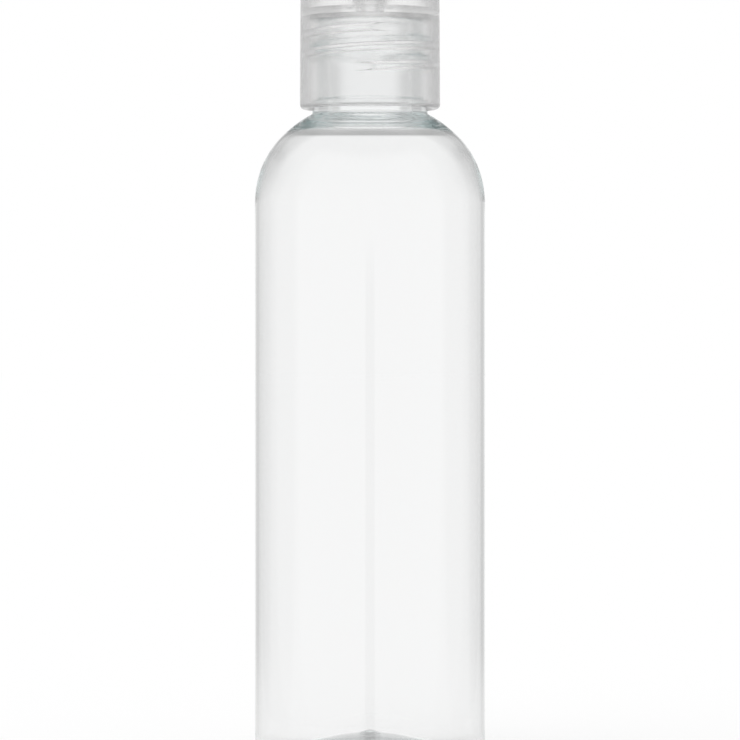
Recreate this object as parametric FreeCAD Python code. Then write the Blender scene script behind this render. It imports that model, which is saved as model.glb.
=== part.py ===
import FreeCAD, Part
import math
import os

# A clear 100 ml travel bottle with a screw cap, whose round disc tilts to pour.
# All sizes are in millimetres. The origin is the centre of the base, +Z is up,
# and the front, where the disc pours, faces -Y.

# Bottle body
body_radius = 19.0
body_wall = 0.6
straight_height = 91.4  # base to where the side turns into the shoulder
shoulder_radius = 16.0  # outer arc of the shoulder
shoulder_thickening = 1.4  # the inner arc of the shoulder is smaller by this
thickening_drop = 0.4  # and starts lower by this

# Bottle base
heel_radius = 3.0
standing_ring_width = 2.8
punt_height = 3.0  # hollow under the base
punt_edge_radius = 0.6
punt_thickness = 1.1  # floor at the middle of the hollow
floor_thickness = 0.75  # floor over the standing ring
floor_step = 0.4  # the dome inside is wider than the hollow by this
floor_blend_radius = 1.5
gate_radius = 1.5  # moulding stub at the middle of the base
gate_height = 0.4
gate_dome_radius = 1.7  # low boss above it, inside
gate_dome_height = 0.35

# Bottle neck
neck_radius = 8.75  # at the root of the thread
neck_wall = 2.0
finish_height = 15.3  # shoulder to sealing face
land_width = 0.8  # collar under the thread, beyond the root
land_draft = 0.2
land_height = 2.2
land_blend_radius = 0.4
neck_bore_blend_radius = 2.0
finish_edge_radius = 0.4

# Thread: right-hand, single start
thread_pitch = 3.175
thread_depth = 1.05
thread_turns = 1.5
thread_root_width = 1.6
thread_crest_width = 0.7
thread_top_gap = 2.15  # sealing face to the middle of the ridge at its upper end
thread_end_angle = 90.0
ridge_sink = 0.3  # by which a ridge is rooted in its wall
run_out_bite = 0.1  # the ends of a ridge are cut this far below the root

# Sealing washer
washer_thickness = 0.8
washer_hole_radius = 5.0
washer_bore_clearance = 0.15

# Cap body
thread_crest_clearance = 0.35  # bottle thread to cap bore
cap_wall = 1.43
cap_draft = 0.1
skirt_depth = 15.25  # deck underside to the lower edge
deck_thickness = 1.2
recess_depth = 4.1
rim_wall = 1.48
cap_foot_radius = 0.75
cap_top_radius = 0.9
rim_edge_radius = 0.25
skirt_mouth_chamfer = 0.4
cap_ridge_clearance = 0.4  # cap ridge to the root of the bottle thread
cap_ridge_root_width = 1.4
cap_ridge_crest_width = 0.6
cap_ridge_drop = 1.1  # cap ridge below the bottle's ridge
cap_ridge_turns = 2.15
cap_ridge_top_gap = 2.2  # deck underside to the middle of the ridge at its upper end
internal_run_out = 30.0  # degrees over which the cap ridge fades
orifice_radius = 1.6
chimney_wall = 1.2
chimney_height = 2.2
socket_clearance = 0.06
socket_end_clearance = 0.12
lead_in_depth = 0.3

# Tilting disc
disc_gap = 0.3
disc_thickness = 1.0
disc_edge_radius = 0.3
pivot_back = 1.5  # pivot behind the middle
pivot_drop = 1.7  # pivot below the top
pin_radius = 0.65
pin_reach = 0.55  # pins past the wall of the recess
pin_edge_radius = 0.2
ear_thickness = 1.05
ear_length = 3.0
ear_margin = 0.3  # ear below the pin
flange_width = 0.8
flange_depth = 1.2
flange_back = 1.7  # flange ends this far behind the pivot
plug_clearance = 0.2
plug_engagement = 0.35
plug_chamfer = 0.3
cup_gap = 0.5
cup_wall = 0.7
cup_engagement = 0.5
nozzle_wall = 0.8
channel_width = 3.2
channel_depth = 1.3
nozzle_floor = 0.7
dimple_ball_radius = 18.0
dimple_depth = 0.4
dimple_back = 5.1
rib_count = 3
rib_width = 0.5
rib_spacing = 1.3
rib_drop = 0.1

# Sizes that follow
body_inner_radius = body_radius - body_wall
punt_radius = body_radius - heel_radius - standing_ring_width
land_radius = neck_radius + land_width
bore_radius = neck_radius - neck_wall
thread_crest_radius = neck_radius + thread_depth
shoulder_centre = body_radius - shoulder_radius
shoulder_end_angle = math.acos((land_radius - shoulder_centre) / shoulder_radius)
neck_base = straight_height + shoulder_radius * math.sin(shoulder_end_angle)
finish_top = neck_base + finish_height
thread_end = finish_top - thread_top_gap

washer_radius = thread_crest_radius + thread_crest_clearance - washer_bore_clearance
deck_underside = finish_top + washer_thickness
deck_top = deck_underside + deck_thickness
cap_bottom = deck_underside - skirt_depth
cap_top = deck_top + recess_depth
cap_bore_radius = thread_crest_radius + thread_crest_clearance
cap_bottom_radius = cap_bore_radius + cap_wall
cap_rim_radius = cap_bottom_radius - cap_draft
recess_radius = cap_rim_radius - rim_wall
chimney_radius = orifice_radius + chimney_wall
chimney_top = deck_top + chimney_height

disc_radius = recess_radius - disc_gap
disc_underside = cap_top - disc_thickness
pivot_height = cap_top - pivot_drop
pin_end = recess_radius + pin_reach

origin = FreeCAD.Vector(0, 0, 0)
up = FreeCAD.Vector(0, 0, 1)
sideways = FreeCAD.Vector(1, 0, 0)
plenty = 2 * body_radius  # reach of cutting blocks past what they cut


def in_section(point):
    """A (radius, height) pair as a point of the XZ plane."""
    return FreeCAD.Vector(point[0], 0, point[1])


def outline(start, *steps):
    """Closed run of edges: a point adds a straight edge, a pair of points an arc."""
    edges = []
    here = start
    for step in steps + (start,):
        if isinstance(step[0], tuple):
            middle, end = step
            arc = Part.Arc(in_section(here), in_section(middle), in_section(end))
            edges.append(arc.toShape())
        else:
            end = step
            edges.append(Part.LineSegment(in_section(here), in_section(end)).toShape())
        here = end
    return Part.Wire(edges)


def turned(wire):
    """Solid turned about the Z axis from a closed outline."""
    return Part.Solid(Part.Face(wire).revolve(origin, up, 360))


def tube(inner, outer, bottom, top):
    """Upright ring with a rectangular section."""
    return turned(outline((inner, bottom), (outer, bottom), (outer, top), (inner, top)))


def post(radius, bottom, top):
    """Upright cylinder on the axis."""
    return Part.makeCylinder(radius, top - bottom, FreeCAD.Vector(0, 0, bottom))


def block(left, right, front, back, bottom, top):
    """Box between two limits on each axis."""
    corner = FreeCAD.Vector(left, front, bottom)
    return Part.makeBox(right - left, back - front, top - bottom, corner)


def ring_edges(shape, radius, height):
    """Circular edges of a turned shape that have this radius and height."""
    found = []
    for edge in shape.Edges:
        if edge.Degenerated or not isinstance(edge.Curve, Part.Circle):
            continue
        curve = edge.Curve
        if abs(curve.Radius - radius) < 1e-4 and abs(curve.Center.z - height) < 1e-4:
            found.append(edge)
    return found


def rounded(shape, fillet, radius, height):
    """Shape with its circular edge at this radius and height rounded."""
    return shape.makeFillet(fillet, ring_edges(shape, radius, height))


def chamfered(shape, size, radius, height):
    """Shape with its circular edge at this radius and height chamfered."""
    return shape.makeChamfer(size, ring_edges(shape, radius, height))


def dome_height(radius, base_radius, rise):
    """Height above its base of a round dome, at a distance from the axis."""
    ball = (base_radius ** 2 + rise ** 2) / (2 * rise)
    return rise - ball + math.sqrt(ball ** 2 - radius ** 2)


def dome_arc(base_radius, base, rise):
    """Half section of a dome from its apex to its base, as an arc's middle and end."""
    middle = base_radius / 2
    return ((middle, base + dome_height(middle, base_radius, rise)), (base_radius, base))


def on_circle(centre_radius, centre_height, radius, angle):
    """Point of a circle in the section plane, by angle from the outward direction."""
    return (
        centre_radius + radius * math.cos(angle),
        centre_height + radius * math.sin(angle),
    )


def joined(first, *others):
    """One solid from several that overlap or share a face."""
    return first.fuse(list(others)).removeSplitter()


def helical_ridge(root, crest, root_width, crest_width, end_angle, end_height, turns):
    """Right-hand ridge up to an end angle and height, sunk a little into its wall."""
    sink = math.copysign(ridge_sink, root - crest)
    flare = (root_width - crest_width) / 2 * ridge_sink / abs(root - crest)
    sunk_half = root_width / 2 + flare
    corners = [
        (root + sink, -sunk_half),
        (crest, -crest_width / 2),
        (crest, crest_width / 2),
        (root + sink, sunk_half),
    ]
    section = outline(*corners)
    rise = turns * thread_pitch
    helix = Part.makeHelix(thread_pitch, rise, (root + crest) / 2)
    ridge = Part.Wire(helix.Edges).makePipeShell([section], True, True)
    ridge.rotate(origin, up, end_angle - 360 * turns)
    ridge.translate(FreeCAD.Vector(0, 0, end_height - rise))
    return ridge


def outside_run_out(angle, height):
    """Block that fades one end of the bottle's ridge into the neck."""
    plane = neck_radius - run_out_bite
    half = thread_pitch / 2
    cutter = block(plane, plenty, -neck_radius, neck_radius, height - half, height + half)
    cutter.rotate(origin, up, angle)
    return cutter


def inside_run_out(crest, angle, height):
    """Offset round cutter that fades one end of the cap's ridge into the bore."""
    reach = cap_bore_radius + run_out_bite
    spread = math.cos(math.radians(internal_run_out))
    offset = (reach ** 2 - crest ** 2) / (2 * (reach - crest * spread))
    half = thread_pitch / 2
    cutter = post(reach - offset, height - half, height + half)
    cutter.translate(FreeCAD.Vector(offset, 0, 0))
    cutter.rotate(origin, up, angle)
    return cutter


def bottle_outside():
    """Bottle as if it were full: base, side, shoulder, collar and neck."""
    land_top = neck_base + land_height
    land_top_radius = land_radius - land_draft
    halfway = shoulder_end_angle / 2
    shoulder_middle = on_circle(shoulder_centre, straight_height, shoulder_radius, halfway)
    solid = turned(
        outline(
            (0, punt_height),
            dome_arc(punt_radius, 0, punt_height),
            (body_radius, 0),
            (body_radius, straight_height),
            (shoulder_middle, (land_radius, neck_base)),
            (land_top_radius, land_top),
            (neck_radius, land_top),
            (neck_radius, finish_top),
            (0, finish_top),
        )
    )
    solid = rounded(solid, heel_radius, body_radius, 0)
    solid = rounded(solid, punt_edge_radius, punt_radius, 0)
    solid = rounded(solid, land_blend_radius, land_radius, neck_base)
    solid = rounded(solid, land_blend_radius / 2, land_top_radius, land_top)
    solid = rounded(solid, land_blend_radius, neck_radius, land_top)
    return rounded(solid, finish_edge_radius, neck_radius, finish_top)


def bottle_hollow():
    """Room inside the bottle, from its floor to its mouth."""
    apex = punt_height + punt_thickness
    dome_radius = punt_radius + floor_step
    arc_radius = shoulder_radius - shoulder_thickening
    arc_centre = body_inner_radius - arc_radius
    arc_start = straight_height - thickening_drop
    end_angle = math.acos((bore_radius - arc_centre) / arc_radius)
    arc_end = on_circle(arc_centre, arc_start, arc_radius, end_angle)
    arc_middle = on_circle(arc_centre, arc_start, arc_radius, end_angle / 2)
    solid = turned(
        outline(
            (0, apex),
            dome_arc(dome_radius, floor_thickness, apex - floor_thickness),
            (body_inner_radius, floor_thickness),
            (body_inner_radius, arc_start),
            (arc_middle, arc_end),
            (bore_radius, finish_top),
            (0, finish_top),
        )
    )
    solid = rounded(solid, floor_blend_radius, dome_radius, floor_thickness)
    solid = rounded(solid, heel_radius - body_wall, body_inner_radius, floor_thickness)
    return rounded(solid, neck_bore_blend_radius, bore_radius, arc_end[1])


def gate_stub():
    """Moulding stub under the middle of the base."""
    return post(gate_radius, punt_height - gate_height, punt_height + punt_thickness / 2)


def gate_dome():
    """Low boss on the floor above the stub."""
    base = punt_height + punt_thickness / 2
    rise = punt_thickness / 2 + gate_dome_height
    return turned(outline((0, base + rise), dome_arc(gate_dome_radius, base, rise), (0, base)))


def bottle_ridge():
    """Thread ridge outside the neck."""
    ridge = helical_ridge(
        neck_radius, thread_crest_radius, thread_root_width, thread_crest_width,
        thread_end_angle, thread_end, thread_turns,
    )
    rise = thread_turns * thread_pitch
    upper = outside_run_out(thread_end_angle, thread_end)
    lower = outside_run_out(thread_end_angle - 360 * thread_turns, thread_end - rise)
    return ridge.cut([upper, lower])


def bottle():
    """Blown body with its base, shoulder, threaded neck and gate marks."""
    shell = bottle_outside().cut(bottle_hollow())
    shell = rounded(shell, finish_edge_radius, bore_radius, finish_top)
    return joined(shell, gate_stub(), gate_dome(), bottle_ridge())


def sealing_washer():
    """Soft washer pressed between the mouth of the bottle and the cap."""
    return tube(washer_hole_radius, washer_radius, finish_top, deck_underside)


def cap_shell():
    """Cap skirt, deck and recess, without thread, chimney and pivots."""
    solid = turned(
        outline(
            (0, deck_underside),
            (cap_bore_radius, deck_underside),
            (cap_bore_radius, cap_bottom),
            (cap_bottom_radius, cap_bottom),
            (cap_rim_radius, cap_top),
            (recess_radius, cap_top),
            (recess_radius, deck_top),
            (0, deck_top),
        )
    )
    solid = rounded(solid, cap_foot_radius, cap_bottom_radius, cap_bottom)
    solid = rounded(solid, cap_top_radius, cap_rim_radius, cap_top)
    solid = rounded(solid, rim_edge_radius, recess_radius, cap_top)
    return chamfered(solid, skirt_mouth_chamfer, cap_bore_radius, cap_bottom)


def cap_ridge():
    """Thread ridge inside the cap, which runs under the bottle's ridge."""
    crest = neck_radius + cap_ridge_clearance
    end = deck_underside - cap_ridge_top_gap
    lead = end + cap_ridge_drop - thread_end
    end_angle = thread_end_angle + 360 * lead / thread_pitch
    ridge = helical_ridge(
        cap_bore_radius, crest, cap_ridge_root_width, cap_ridge_crest_width,
        end_angle, end, cap_ridge_turns,
    )
    rise = cap_ridge_turns * thread_pitch
    upper = inside_run_out(crest, end_angle, end)
    lower = inside_run_out(crest, end_angle - 360 * cap_ridge_turns, end - rise)
    return ridge.cut([upper, lower])


def pivot_sockets():
    """Blind holes for the disc's pins, with the grooves that the pins slide down."""
    radius = pin_radius + socket_clearance
    end = pin_end + socket_end_clearance
    hole = Part.makeCylinder(
        radius, 2 * end, FreeCAD.Vector(-end, pivot_back, pivot_height), sideways
    )
    groove = block(
        -plenty, plenty, pivot_back - radius, pivot_back + radius, pivot_height, cap_top
    )
    groove = groove.common(post(recess_radius + lead_in_depth, deck_top, cap_top))
    return hole, groove


def cap_body():
    """Screw cap with its inside thread, pouring chimney and pivot sockets."""
    chimney = post(chimney_radius, deck_underside, chimney_top)
    solid = joined(cap_shell(), chimney, cap_ridge())
    orifice = post(orifice_radius, deck_underside, chimney_top)
    return solid.cut([orifice, *pivot_sockets()])


def disc_plate():
    """Round plate with a thumb dimple and grip ribs behind the pivot."""
    plate = post(disc_radius, disc_underside, cap_top)
    plate = rounded(plate, disc_edge_radius, disc_radius, cap_top)
    ball_centre = FreeCAD.Vector(0, dimple_back, cap_top + dimple_ball_radius - dimple_depth)
    ball = Part.makeSphere(dimple_ball_radius, ball_centre)
    ribs = []
    for number in range(rib_count):
        middle = dimple_back + (number - (rib_count - 1) / 2) * rib_spacing
        front = middle - rib_width / 2
        rib = block(
            -disc_radius, disc_radius, front, front + rib_width,
            disc_underside, cap_top - rib_drop,
        )
        ribs.append(rib.common(plate).common(ball))
    return plate.cut(ball).fuse(ribs)


def disc_flange():
    """Stiffening rim under the plate, open at the back where the disc sinks."""
    bottom = disc_underside - flange_depth
    ring = tube(disc_radius - flange_width, disc_radius, bottom, disc_underside)
    front_part = block(
        -plenty, plenty, -plenty, pivot_back + flange_back, bottom, disc_underside
    )
    return ring.common(front_part)


def disc_ears():
    """Two lugs at the sides of the disc that carry the pins."""
    bottom = pivot_height - pin_radius - ear_margin
    inner = disc_radius - ear_thickness
    front = pivot_back - ear_length / 2
    back = pivot_back + ear_length / 2
    bar = block(-plenty, plenty, front, back, bottom, disc_underside)
    middle = block(-inner, inner, front, back, bottom, disc_underside)
    return bar.cut(middle).common(post(disc_radius, bottom, disc_underside))


def disc_pin(side):
    """Pivot pin on one side, rooted in its ear."""
    root = disc_radius - ear_thickness
    pin = Part.makeCylinder(
        pin_radius, pin_end - root, FreeCAD.Vector(root, pivot_back, pivot_height), sideways
    )
    tip = max(pin.Edges, key=lambda edge: edge.CenterOfMass.x)
    pin = pin.makeFillet(pin_edge_radius, [tip])
    if side < 0:
        pin = pin.mirror(origin, sideways)
    return pin


def disc_plug():
    """Stopper that closes the orifice, and the cup that fits over the chimney."""
    plug_bottom = chimney_top - plug_engagement
    plug_radius = orifice_radius - plug_clearance
    plug = post(plug_radius, plug_bottom, disc_underside)
    plug = chamfered(plug, plug_chamfer, plug_radius, plug_bottom)
    cup_radius = chimney_radius + cup_gap
    cup = tube(cup_radius, cup_radius + cup_wall, chimney_top - cup_engagement, disc_underside)
    return plug, cup


def disc_nozzle():
    """Spout under the front of the plate, and the channel through it."""
    half = channel_width / 2
    channel_bottom = disc_underside - channel_depth
    bottom = channel_bottom - nozzle_floor
    back = -(chimney_radius + cup_gap)
    body = block(
        -half - nozzle_wall, half + nozzle_wall, -disc_radius, back, bottom, disc_underside
    )
    body = body.common(post(disc_radius, bottom, disc_underside))
    clear_of_chimney = post(-back, bottom, disc_underside)
    channel = block(-half, half, -plenty, back + cup_wall, channel_bottom, disc_underside)
    return body.cut(clear_of_chimney), channel


def disc():
    """Tilting disc: plate, rim, spout, stopper, ears and pivot pins."""
    plug, cup = disc_plug()
    nozzle, channel = disc_nozzle()
    hollow_parts = joined(disc_flange(), cup, nozzle).cut(channel)
    return joined(disc_plate(), hollow_parts, plug, disc_ears(), disc_pin(1), disc_pin(-1))


os.makedirs("parts", exist_ok=True)
for make in (bottle, sealing_washer, cap_body, disc):
    make().exportStep("parts/" + make.__name__ + ".step")
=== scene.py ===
import math

import bpy
import numpy as np
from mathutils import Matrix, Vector


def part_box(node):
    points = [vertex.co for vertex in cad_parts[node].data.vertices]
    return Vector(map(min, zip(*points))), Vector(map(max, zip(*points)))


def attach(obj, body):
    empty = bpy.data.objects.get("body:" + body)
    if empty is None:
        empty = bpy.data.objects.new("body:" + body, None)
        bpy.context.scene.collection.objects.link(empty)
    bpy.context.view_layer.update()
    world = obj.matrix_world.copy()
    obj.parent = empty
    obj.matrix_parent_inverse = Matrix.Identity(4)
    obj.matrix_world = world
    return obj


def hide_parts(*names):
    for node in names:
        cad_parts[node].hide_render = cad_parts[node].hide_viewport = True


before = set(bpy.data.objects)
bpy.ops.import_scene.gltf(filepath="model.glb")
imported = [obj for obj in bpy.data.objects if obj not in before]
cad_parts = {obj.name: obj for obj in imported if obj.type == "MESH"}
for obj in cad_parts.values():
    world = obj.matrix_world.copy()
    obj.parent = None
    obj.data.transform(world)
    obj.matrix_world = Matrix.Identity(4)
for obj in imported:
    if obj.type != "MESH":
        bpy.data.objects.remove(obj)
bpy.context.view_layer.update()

mm = 0.001
micron = 0.001 * mm

# Sizes of the bottle that the frame gives
bottle_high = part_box("bottle")[1]
body_radius = bottle_high.x
finish_top = bottle_high.z

# Sizes of the bottle's section: the solid's, but with a lower gate mark and a tighter
# round from the shoulder into the neck's bore
body_wall = 0.6 * mm
straight_height = 91.4 * mm
shoulder_radius = 16.0 * mm
heel_radius = 3.0 * mm
standing_ring_width = 2.8 * mm
punt_height = 3.0 * mm
punt_edge_radius = 0.6 * mm
punt_thickness = 1.1 * mm
floor_thickness = 0.75 * mm
floor_step = 0.4 * mm
floor_blend_radius = 1.5 * mm
gate_radius = 1.5 * mm
gate_height = 0.2 * mm
gate_dome_height = 0.35 * mm
gate_corner_radius = 0.12 * mm
gate_foot_radius = 0.15 * mm
gate_dome_foot_radius = 0.3 * mm
neck_radius = 8.75 * mm
neck_wall = 2.0 * mm
finish_height = 15.3 * mm
land_width = 0.8 * mm
land_draft = 0.2 * mm
land_height = 2.2 * mm
land_blend_radius = 0.4 * mm
neck_bore_blend_radius = 1.2 * mm
finish_edge_radius = 0.4 * mm
thread_pitch = 3.175 * mm
thread_depth = 1.05 * mm
thread_turns = 1.5
thread_root_width = 1.6 * mm
thread_crest_width = 0.7 * mm
thread_top_gap = 2.15 * mm
thread_end_angle = 90.0
run_out_bite = 0.1 * mm
run_out_angle = 60

# Flatter stretch of the shoulder, in degrees up it
shoulder_dip_depth = 0.13 * mm
shoulder_dip_middle = 50
shoulder_dip_spread = 10

# Wall up the shoulder, in degrees from its foot
shoulder_walls = (
    (0, 0.6 * mm), (20, 0.81 * mm), (35, 0.88 * mm), (45, 0.80 * mm),
    (52, 0.84 * mm), (58, 1.3 * mm), (64, 1.7 * mm), (70, 2.1 * mm),
)

# Washer, kept a hair clear of what it touches
washer_hole_radius = 5.0 * mm
washer_edge_radius = 0.1 * mm
contact_gap = 30 * micron

# Resolution of the meshes round their axis
bottle_count = 192
washer_count = 128

# Levels of the studio, where 1 is white
backdrop_level = 0.92
gap_level = 0.35
back_side_levels = (0.66, 0.6)
side_level = 0.82
front_level = 1.0
ceiling_level = 0.75
overhead_level = 1.0
stand_level = 0.25
soft_level = 1.0

# Edges of its parts, each from start to end, as sines of the angle across, back or up
window_side_edge = (0.2, 0.3)
backdrop_edge = (0.45, 0.6)
back_side_edge = (0.4, 0.55)
front_edge = (-0.2, -0.1)
backdrop_top_edge = (0.1, 0.28)
side_top_edge = (0.28, 0.5)
side_gap_edge = (0.25, 0.4)
ceiling_edge = (0.75, 0.9)
overhead_bottom_edge = (0.45, 0.65)
overhead_side_edge = (0.2, 0.35)
overhead_front_edge = (0.1, 0.3)
stand_side_edge = (0.06, 0.1)
stand_back_edge = (-0.95, -0.85)
stand_top_edge = (0.015, 0.035)

# Floor, and the lamp that casts the shadow on it
floor_half_size = 40.0
floor_color = 0.2
floor_light = 1.25
floor_level = 0.8
# Painted glow of the floor near and under the bottle, seen through and off the plastic, and how far
# out it gives way to the studio's levels painted on the floor
near_floor_painted_glow = 0.92
near_floor_share = 0.45
near_floor_edge = (30 * mm, 350 * mm)
under_edge = (20 * mm, 50 * mm)
sun_direction = (0.5, 0.6, -1.0)
sun_spread = 50.0

# Camera and photograph
photo_width = 740
photo_scale = 6.053 / mm
photo_base_line = 756.0
camera_distance = 716 * mm
sensor_width = 36.0


def run(start, end, step):
    """Points of a straight stretch, both ends included."""
    length = math.dist(start, end)
    count = max(1, round(length / step))
    return [
        (start[0] + (end[0] - start[0]) * i / count, start[1] + (end[1] - start[1]) * i / count)
        for i in range(count + 1)
    ]


def bend(centre, radius, first, last, step):
    """Points of a round stretch between two angles, both ends included."""
    count = max(1, round(abs(last - first) * radius / step))
    points = []
    for i in range(count + 1):
        angle = first + (last - first) * i / count
        points.append((centre[0] + radius * math.cos(angle), centre[1] + radius * math.sin(angle)))
    return points


def trimmed(points, length):
    """Points with this much cut off their end, ending exactly at the cut."""
    points = list(points)
    left = length
    while len(points) > 2 and math.dist(points[-1], points[-2]) <= left:
        left -= math.dist(points[-1], points[-2])
        points.pop()
    share = left / math.dist(points[-1], points[-2])
    tip, before = points[-1], points[-2]
    points[-1] = (tip[0] + (before[0] - tip[0]) * share, tip[1] + (before[1] - tip[1]) * share)
    return points


def blended(before, after, fillet, count=7):
    """Two runs that meet at a corner, joined by a round of this radius."""
    corner = np.array(before[-1])
    into = np.array(before[-1]) - np.array(before[-2])
    out = np.array(after[1]) - np.array(after[0])
    into = into / np.linalg.norm(into)
    out = out / np.linalg.norm(out)
    turn = math.acos(max(-1.0, min(1.0, float(into @ out))))
    cut = fillet * math.tan(turn / 2)
    before = trimmed(before, cut)
    after = trimmed(after[::-1], cut)[::-1]
    pull = 4 / 3 * math.tan(turn / 4) / math.tan(turn / 2)
    first, last = np.array(before[-1]), np.array(after[0])
    near_first = first + (corner - first) * pull
    near_last = last + (corner - last) * pull
    joint = []
    for i in range(1, count):
        t = i / count
        joint.append(tuple(
            (1 - t) ** 3 * first + 3 * (1 - t) ** 2 * t * near_first
            + 3 * (1 - t) * t ** 2 * near_last + t ** 3 * last
        ))
    return before + joint + after


def chained(runs, fillets):
    """One outline from runs that meet end to start, each corner rounded."""
    line = runs[0]
    for after, fillet in zip(runs[1:], fillets):
        line = blended(line, after, fillet) if fillet else line + after[1:]
    return line


def dome(base_radius, base, rise, start_radius, step):
    """Points of a round dome, from a distance off the axis to its base."""
    ball = (base_radius ** 2 + rise ** 2) / (2 * rise)
    centre = (0, base + rise - ball)
    first = math.acos(start_radius / ball)
    last = math.acos(base_radius / ball)
    return bend(centre, ball, first, last, step)


def shoulder_dip(angle):
    """Depth of the shoulder's flatter stretch, at an angle in degrees up it."""
    return shoulder_dip_depth * np.exp(-((angle - shoulder_dip_middle) / shoulder_dip_spread) ** 2)


def shoulder_outside(centre, last):
    """Points outside the shoulder, from its foot up to the collar."""
    angles = np.linspace(0, last, 41)
    reaches = shoulder_radius - shoulder_dip(np.degrees(angles))
    return [
        (centre[0] + reach * math.cos(angle), centre[1] + reach * math.sin(angle))
        for reach, angle in zip(reaches, angles)
    ]


def shoulder_inside(centre, bore_radius):
    """Points inside the shoulder, from its foot up to the bore."""
    angles = np.linspace(0, 75, 91)
    walls = np.interp(angles, [angle for angle, wall in shoulder_walls],
                      [wall for angle, wall in shoulder_walls])
    # Each wall is the mean of the nine about it, so that the slopes have no corners
    walls = np.convolve(np.pad(walls, 4, mode="edge"), np.full(9, 1 / 9), "valid")
    walls = walls + shoulder_dip(angles)
    points = []
    for angle, wall in zip(np.radians(angles), walls):
        reach = shoulder_radius - wall
        point = (centre[0] + reach * math.cos(angle), centre[1] + reach * math.sin(angle))
        if point[0] < bore_radius:
            share = (points[-1][0] - bore_radius) / (points[-1][0] - point[0])
            height = points[-1][1] + (point[1] - points[-1][1]) * share
            return points + [(bore_radius, height)]
        points.append(point)
    return points


def bottle_outline():
    """Section of the bottle, from the middle of its base out, up, in and down."""
    inner_radius = body_radius - body_wall
    punt_radius = body_radius - heel_radius - standing_ring_width
    land_radius = neck_radius + land_width
    land_top_radius = land_radius - land_draft
    bore_radius = neck_radius - neck_wall
    neck_base = finish_top - finish_height
    land_top = neck_base + land_height
    shoulder_centre = (body_radius - shoulder_radius, straight_height)
    shoulder_end = math.acos((land_radius - shoulder_centre[0]) / shoulder_radius)
    inside = shoulder_inside(shoulder_centre, bore_radius)
    apex = punt_height + punt_thickness
    dome_radius = punt_radius + floor_step
    under = dome(punt_radius, 0, punt_height, gate_radius, 0.9 * mm)
    over = dome(dome_radius, floor_thickness, apex - floor_thickness, gate_radius, 0.7 * mm)
    gate_bottom = punt_height - gate_height
    gate_top = apex + gate_dome_height
    runs = [
        run((0, gate_bottom), (gate_radius, gate_bottom), 0.4 * mm),
        run((gate_radius, gate_bottom), under[0], 0.2 * mm),
        under,
        run((punt_radius, 0), (body_radius, 0), 1.4 * mm),
        run((body_radius, 0), (body_radius, straight_height), 1.9 * mm),
        shoulder_outside(shoulder_centre, shoulder_end),
        run((land_radius, neck_base), (land_top_radius, land_top), 0.4 * mm),
        run((land_top_radius, land_top), (neck_radius, land_top), 0.15 * mm),
        run((neck_radius, land_top), (neck_radius, finish_top), 0.125 * mm),
        run((neck_radius, finish_top), (bore_radius, finish_top), 0.3 * mm),
        run((bore_radius, finish_top), inside[-1], 0.8 * mm),
        inside[::-1],
        run((inner_radius, straight_height), (inner_radius, floor_thickness), 1.9 * mm),
        run((inner_radius, floor_thickness), (dome_radius, floor_thickness), 0.8 * mm),
        over[::-1],
        run(over[0], (0, gate_top), 0.2 * mm),
    ]
    fillets = [
        gate_corner_radius, gate_foot_radius, punt_edge_radius, heel_radius, 0.0,
        land_blend_radius, land_blend_radius / 2, land_blend_radius,
        finish_edge_radius, finish_edge_radius, neck_bore_blend_radius, 0.0,
        heel_radius - body_wall, floor_blend_radius, gate_dome_foot_radius,
    ]
    return chained(runs, fillets)


def ridge_height(angle, z):
    """Height of the thread ridge above the neck, at an angle in degrees."""
    start_angle = thread_end_angle - 360 * thread_turns
    thread_end = finish_top - thread_top_gap
    flank = (thread_root_width - thread_crest_width) / 2
    plane = neck_radius - run_out_bite
    best = 0.0
    for turn in range(math.ceil(thread_turns)):
        along = (angle - start_angle) % 360 + 360 * turn
        to_end = 360 * thread_turns - along
        if to_end < 0:
            continue
        middle = thread_end - to_end / 360 * thread_pitch
        rise = (thread_root_width / 2 - abs(z - middle)) / flank
        if rise <= 0:
            continue
        rise = min(1.0, rise)
        rise = rise * rise * (3 - 2 * rise)
        height = thread_depth * rise
        near_end = min(along, to_end)
        if near_end < run_out_angle:
            height = min(height, max(0.0, plane / math.cos(math.radians(near_end)) - neck_radius))
        best = max(best, height)
    return best


def bottle_mesh():
    """Bottle as one closed mesh, with its thread."""
    line = bottle_outline()
    angles = [360 * i / bottle_count for i in range(bottle_count)]
    neck_base = finish_top - finish_height
    outer = True
    rings = []
    vertices = []
    for r, z in line:
        if abs(z - finish_top) < micron and r < neck_radius - neck_wall / 2:
            outer = False
        if r < micron:
            rings.append([len(vertices)])
            vertices.append((0.0, 0.0, z))
            continue
        ring = []
        for angle in angles:
            theta = math.radians(angle)
            radius = r
            if outer and z > neck_base + land_height and r > neck_radius - micron:
                radius = r + ridge_height(angle, z)
            ring.append(len(vertices))
            vertices.append((radius * math.cos(theta), radius * math.sin(theta), z))
        rings.append(ring)
    faces = []
    count = len(angles)
    for low, high in zip(rings[:-1], rings[1:]):
        for i in range(count):
            j = (i + 1) % count
            if len(low) == 1:
                faces.append((low[0], high[j], high[i]))
            elif len(high) == 1:
                faces.append((low[i], low[j], high[0]))
            else:
                faces.append((low[i], low[j], high[j], high[i]))
    return vertices, faces


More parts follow.
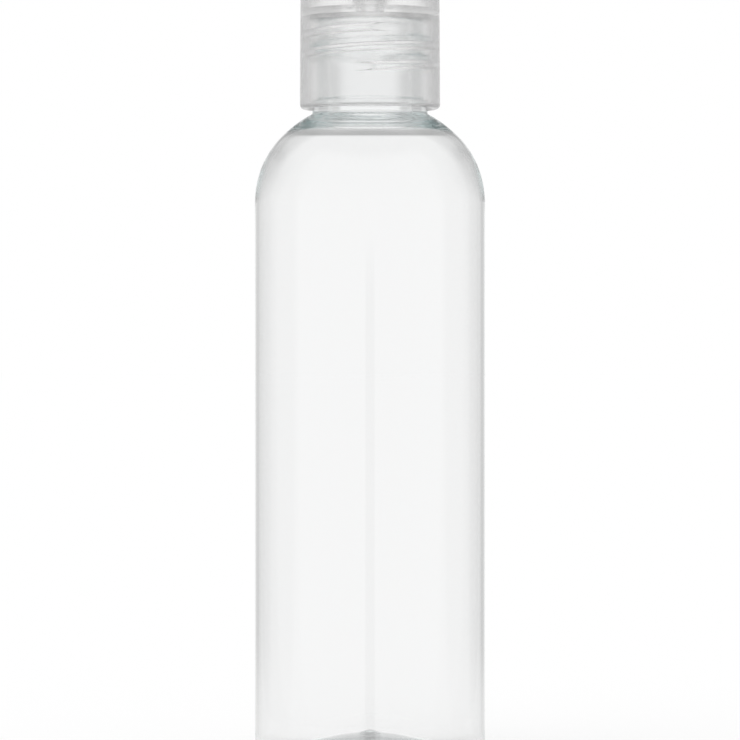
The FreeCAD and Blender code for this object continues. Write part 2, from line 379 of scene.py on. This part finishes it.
def washer_mesh():
    """Washer as a soft-edged ring, a hair clear of the neck and the cap's deck."""
    low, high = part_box("sealing_washer")
    bottom = low.z + contact_gap
    top = high.z - contact_gap
    inner, outer = washer_hole_radius, high.x
    runs = [
        run((inner, bottom), (outer, bottom), 2 * mm),
        run((outer, bottom), (outer, top), 0.4 * mm),
        run((outer, top), (inner, top), 2 * mm),
        run((inner, top), (inner, bottom), 0.4 * mm),
    ]
    line = chained(runs, [washer_edge_radius] * 3)
    count = washer_count
    vertices = []
    for r, z in line:
        for i in range(count):
            theta = 2 * math.pi * i / count
            vertices.append((r * math.cos(theta), r * math.sin(theta), z))
    faces = []
    rings = len(line)
    for k in range(rings - 1):
        for i in range(count):
            j = (i + 1) % count
            low_ring, high_ring = k * count, (k + 1) % (rings - 1) * count
            faces.append((low_ring + i, low_ring + j, high_ring + j, high_ring + i))
    return vertices[:(rings - 1) * count], faces


def new_object(name, vertices, faces):
    """Smooth mesh object from points and faces."""
    mesh = bpy.data.meshes.new(name)
    mesh.from_pydata(vertices, [], faces)
    mesh.polygons.foreach_set("use_smooth", [True] * len(mesh.polygons))
    mesh.update()
    thing = bpy.data.objects.new(name, mesh)
    bpy.context.scene.collection.objects.link(thing)
    return thing


def new_material(name):
    """Node material with its Principled shader, ready to set."""
    material = bpy.data.materials.new(name)
    material.use_nodes = True
    nodes = material.node_tree.nodes
    shader = next(node for node in nodes if node.type == "BSDF_PRINCIPLED")
    return material, material.node_tree, shader


def add_absorption(tree, color, density):
    """Even absorption inside the piece."""
    volume = tree.nodes.new("ShaderNodeVolumeAbsorption")
    volume.inputs["Color"].default_value = (*color, 1)
    volume.inputs["Density"].default_value = density
    output = next(node for node in tree.nodes if node.type == "OUTPUT_MATERIAL")
    tree.links.new(volume.outputs["Volume"], output.inputs["Volume"])


def add_bump(tree, shader, scale, distance):
    """Fine unevenness of a moulded surface."""
    place = tree.nodes.new("ShaderNodeTexCoord")
    noise = tree.nodes.new("ShaderNodeTexNoise")
    noise.inputs["Scale"].default_value = scale
    noise.inputs["Detail"].default_value = 3.0
    bump = tree.nodes.new("ShaderNodeBump")
    bump.inputs["Strength"].default_value = 1.0
    bump.inputs["Distance"].default_value = distance
    tree.links.new(place.outputs["Object"], noise.inputs["Vector"])
    tree.links.new(noise.outputs["Fac"], bump.inputs["Height"])
    tree.links.new(bump.outputs["Normal"], shader.inputs["Normal"])


def clear_plastic():
    """Clear blown plastic: smooth, faintly grey where it is thick."""
    material, tree, shader = new_material("clear_plastic")
    shader.inputs["Base Color"].default_value = (1.0, 1.0, 1.0, 1)
    shader.inputs["Roughness"].default_value = 0.015
    shader.inputs["IOR"].default_value = 1.575
    shader.inputs["Transmission Weight"].default_value = 1.0
    add_absorption(tree, color=(0.86, 0.9, 0.9), density=60.0)
    return material


def milky_plastic(name):
    """Natural, cloudy moulded plastic."""
    material, tree, shader = new_material(name)
    shader.inputs["Base Color"].default_value = (1.0, 1.0, 1.0, 1)
    shader.inputs["Roughness"].default_value = 0.2
    shader.inputs["IOR"].default_value = 1.45
    shader.inputs["Transmission Weight"].default_value = 1.0
    add_bump(tree, shader, scale=900, distance=3 * micron)
    return material


def by_ray(tree, otherwise, levels):
    """Level that depends on what kind of ray asks, the last named kind first."""
    path = tree.nodes.new("ShaderNodeLightPath")
    result = otherwise
    for kind, level in levels:
        choice = tree.nodes.new("ShaderNodeMix")
        tree.links.new(path.outputs[kind], choice.inputs["Factor"])
        for socket, value in ((choice.inputs["A"], result), (choice.inputs["B"], level)):
            if isinstance(value, float):
                socket.default_value = value
            else:
                tree.links.new(value, socket)
        result = choice.outputs["Result"]
    return result


def ranged(tree, value, edge, first, last, smooth=True):
    """Value that goes from the first level to the last between an edge's two places."""
    node = tree.nodes.new("ShaderNodeMapRange")
    node.interpolation_type = "SMOOTHSTEP" if smooth else "LINEAR"
    node.inputs["From Min"].default_value, node.inputs["From Max"].default_value = edge
    node.inputs["To Min"].default_value = first
    node.inputs["To Max"].default_value = last
    tree.links.new(value, node.inputs["Value"])
    return node.outputs["Result"]


def combined(tree, operation, first, second):
    """Two values put together by this sum, each a level or a socket."""
    node = tree.nodes.new("ShaderNodeMath")
    node.operation = operation
    for socket, value in zip(node.inputs, (first, second)):
        if isinstance(value, float):
            socket.default_value = value
        else:
            tree.links.new(value, socket)
    return node.outputs[0]


def blend(tree, share, first, second):
    """First value where the share is 0, second where it is 1."""
    change = combined(tree, "SUBTRACT", second, first)
    return combined(tree, "ADD", first, combined(tree, "MULTIPLY", share, change))


def product(tree, first, *others):
    """All the values multiplied."""
    for value in others:
        first = combined(tree, "MULTIPLY", first, value)
    return first


def size_of(tree, value):
    """Value without its sign."""
    return combined(tree, "ABSOLUTE", value, 0.0)


def parts_of(tree, vector):
    """X, Y and Z of a vector."""
    split = tree.nodes.new("ShaderNodeSeparateXYZ")
    tree.links.new(vector, split.inputs[0])
    return split.outputs


def surroundings(tree, direction):
    """Level of the studio over the direction: backdrop, sides, front and overhead light."""
    x, y, z = parts_of(tree, direction)
    # Just under 1, so that the level part isn't 0 straight up
    height = product(tree, z, z, 0.999)
    level_part = combined(tree, "SQRT", combined(tree, "SUBTRACT", 1.0, height), 0.0)
    across = combined(tree, "DIVIDE", x, level_part)
    back = combined(tree, "DIVIDE", y, level_part)
    aside = size_of(tree, across)

    back_side = ranged(tree, across, (-1.0, 1.0), *back_side_levels, smooth=False)
    room = blend(tree, ranged(tree, back, front_edge, 1.0, 0.0), side_level, front_level)
    room = blend(tree, ranged(tree, back, back_side_edge, 0.0, 1.0), room, back_side)
    window = ranged(tree, aside, window_side_edge, 1.0, 0.0)
    backdrop = blend(tree, window, back_side, backdrop_level)
    gap = blend(
        tree, ranged(tree, aside, side_gap_edge, 0.0, 1.0),
        ranged(tree, z, backdrop_top_edge, 0.0, 1.0), ranged(tree, z, side_top_edge, 0.0, 1.0))
    backdrop = blend(tree, gap, backdrop, gap_level)
    level = blend(tree, ranged(tree, back, backdrop_edge, 0.0, 1.0), room, backdrop)
    level = blend(tree, ranged(tree, z, ceiling_edge, 0.0, 1.0), level, ceiling_level)
    overhead = product(
        tree, ranged(tree, z, overhead_bottom_edge, 0.0, 1.0),
        ranged(tree, size_of(tree, x), overhead_side_edge, 1.0, 0.0),
        ranged(tree, y, overhead_front_edge, 0.0, 1.0))
    return blend(tree, overhead, level, overhead_level)


def with_stand(tree, direction, level):
    """Level for the gloss, with the dark camera stand at the front."""
    x, y, z = parts_of(tree, direction)
    stand = product(
        tree, ranged(tree, size_of(tree, x), stand_side_edge, 1.0, 0.0),
        ranged(tree, y, stand_back_edge, 1.0, 0.0, smooth=False),
        ranged(tree, z, stand_top_edge, 1.0, 0.0))
    return blend(tree, stand, level, stand_level)


def make_world():
    """White backdrop for the camera, and a small studio for the gloss and the clear pieces."""
    world = bpy.data.worlds.new("studio")
    bpy.context.scene.world = world
    world.use_nodes = True
    tree = world.node_tree
    background = next(node for node in tree.nodes if node.type == "BACKGROUND")
    background.inputs["Color"].default_value = (1, 1, 1, 1)
    place = tree.nodes.new("ShaderNodeTexCoord")
    studio = surroundings(tree, place.outputs["Generated"])
    strength = by_ray(tree, soft_level, [
        ("Is Glossy Ray", with_stand(tree, place.outputs["Generated"], studio)),
        ("Is Transmission Ray", studio),
        ("Is Camera Ray", 1.0),
    ])
    tree.links.new(strength, background.inputs["Strength"])


def floor_direction(tree, place):
    """Direction of a place on the floor, from the bottle's side behind it and its axis in front."""
    x, y, z = parts_of(tree, place)
    behind = combined(tree, "GREATER_THAN", y, 0.0)
    beside = combined(tree, "SUBTRACT", size_of(tree, x), product(tree, behind, float(body_radius)))
    beside = combined(tree, "MAXIMUM", beside, 0.0)
    joined = tree.nodes.new("ShaderNodeCombineXYZ")
    tree.links.new(product(tree, combined(tree, "SIGN", x, 0.0), beside), joined.inputs[0])
    tree.links.new(y, joined.inputs[1])
    outward = tree.nodes.new("ShaderNodeVectorMath")
    outward.operation = "NORMALIZE"
    tree.links.new(joined.outputs[0], outward.inputs[0])
    return outward.outputs[0]


def make_floor():
    """Pale floor that looks white but keeps the shadow; to rays through and off the plastic it
    shows painted light instead: a brighter glow near and under the bottle, the studio's bright and
    dim levels painted by direction further out, and a painted dark strip for the camera stand in
    its gloss.
    """
    size = floor_half_size
    corners = [(-size, -size, 0), (size, -size, 0), (size, size, 0), (-size, size, 0)]
    floor = new_object("floor", corners, [(0, 1, 2, 3)])
    material, tree, shader = new_material("pale_floor")
    shader.inputs["Base Color"].default_value = (floor_color, floor_color, floor_color, 1)
    shader.inputs["Roughness"].default_value = 1.0
    shader.inputs["Specular IOR Level"].default_value = 0.0
    shader.inputs["Emission Color"].default_value = (1, 1, 1, 1)
    lit = floor_color * floor_light
    place = tree.nodes.new("ShaderNodeTexCoord").outputs["Object"]
    away = tree.nodes.new("ShaderNodeVectorMath")
    away.operation = "LENGTH"
    tree.links.new(place, away.inputs[0])
    distance = away.outputs["Value"]
    direction = floor_direction(tree, place)
    # Painted light on the floor for rays through and off the plastic: an even brighter glow near
    # and under the bottle, and further out the studio's bright and dim levels painted by direction
    far = product(
        tree, ranged(tree, distance, under_edge, 0.0, 1.0),
        ranged(tree, distance, near_floor_edge, near_floor_share, 1.0))
    studio = blend(tree, far, near_floor_painted_glow, surroundings(tree, direction))
    # Painted dark strip for the camera stand, and the painted studio levels, in the floor's gloss
    gloss = with_stand(tree, direction, studio)
    glow = by_ray(tree, floor_level - lit, [
        ("Is Glossy Ray", combined(tree, "SUBTRACT", gloss, lit)),
        ("Is Transmission Ray", combined(tree, "SUBTRACT", studio, lit)),
        ("Is Camera Ray", 1.0 - lit),
    ])
    tree.links.new(glow, shader.inputs["Emission Strength"])
    floor.data.materials.append(material)


def soft_sun(strength, direction, spread):
    """Soft light over the whole scene, left out of the gloss."""
    data = bpy.data.lights.new("soft_light", "SUN")
    data.energy = strength
    data.angle = math.radians(spread)
    lamp = bpy.data.objects.new("soft_light", data)
    bpy.context.scene.collection.objects.link(lamp)
    lamp.rotation_euler = Vector(direction).to_track_quat("-Z", "Y").to_euler()
    lamp.visible_glossy = False
    lamp.visible_transmission = False


def make_camera():
    """Level camera in front, framed as the photograph."""
    data = bpy.data.cameras.new("camera")
    data.sensor_width = sensor_width
    data.lens = sensor_width * photo_scale * camera_distance / photo_width
    data.clip_start = 0.01
    data.clip_end = 50
    camera = bpy.data.objects.new("camera", data)
    bpy.context.scene.collection.objects.link(camera)
    height = (photo_base_line - photo_width / 2) / photo_scale
    camera.location = (0, -camera_distance, height)
    camera.rotation_euler = (math.pi / 2, 0, 0)
    bpy.context.scene.camera = camera


make_camera()
make_world()
make_floor()
soft_sun(1.0, sun_direction, sun_spread)

bottle = new_object("bottle_shell", *bottle_mesh())
bottle.data.materials.append(clear_plastic())
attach(bottle, "bottle")
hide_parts("bottle")

washer = new_object("washer", *washer_mesh())
washer.data.materials.append(milky_plastic("soft_washer"))
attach(washer, "seal")
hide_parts("sealing_washer")

for node, material in (
    ("cap_body", milky_plastic("milky_cap")),
    ("disc", milky_plastic("milky_disc")),
):
    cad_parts[node].material_slots[0].material = material

scene = bpy.context.scene
scene.view_settings.view_transform = "Standard"
scene.cycles.use_denoising = True
scene.cycles.max_bounces = 64
scene.cycles.transmission_bounces = 64
scene.cycles.glossy_bounces = 60
scene.cycles.diffuse_bounces = 16
